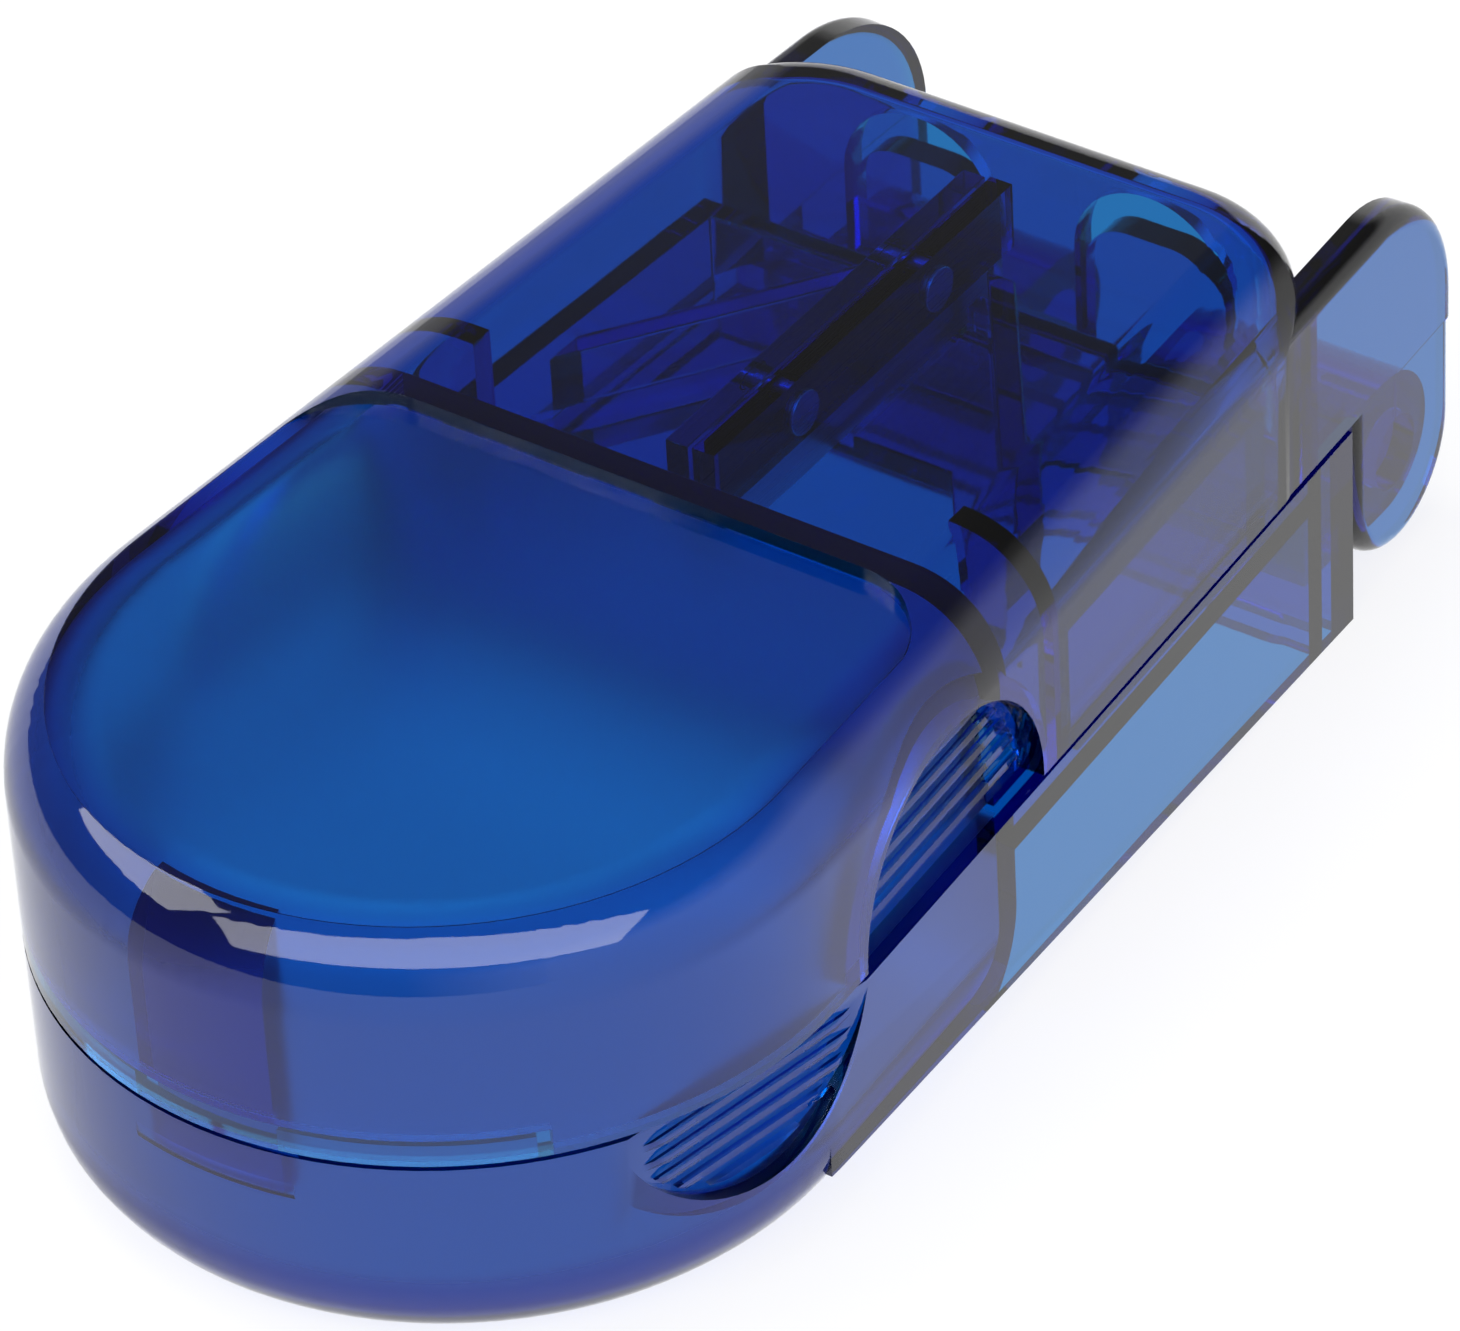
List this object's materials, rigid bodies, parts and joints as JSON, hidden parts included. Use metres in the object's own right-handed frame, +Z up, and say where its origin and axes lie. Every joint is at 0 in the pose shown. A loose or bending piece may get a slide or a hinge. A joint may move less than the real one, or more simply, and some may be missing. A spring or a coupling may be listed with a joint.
{
  "type": "hinged tablet cutter",
  "caption": "Pocket-size hinged case in clear tinted plastic with a storage well in front and a V-shaped rest under a blade held in the lid.",
  "frame": {"origin": "centre of the bounding box's bottom face, on the table under the closed case", "axes": "+X across the case to the right, +Y from the rounded front towards the hinge, +Z up"},
  "size_m": [0.042, 0.0848, 0.0255],
  "materials": {
    "clear_plastic": "transparent tinted polystyrene, polished",
    "blade_steel": "ground stainless strip"
  },
  "bodies": {
    "base": {"base_shell": "clear_plastic", "tablet_holder": "clear_plastic"},
    "lid": {"lid_shell": "clear_plastic", "blade": "blade_steel", "blade_clamp": "clear_plastic", "blade_rivets": "blade_steel"}
  },
  "joints": [
    {"name": "lid_hinge", "type": "hinge", "parent": "base", "child": "lid", "pos_m": [0, 0.03705, 0.0064], "axis": [-1, 0, 0], "range_deg": [0, 95]}
  ]
}
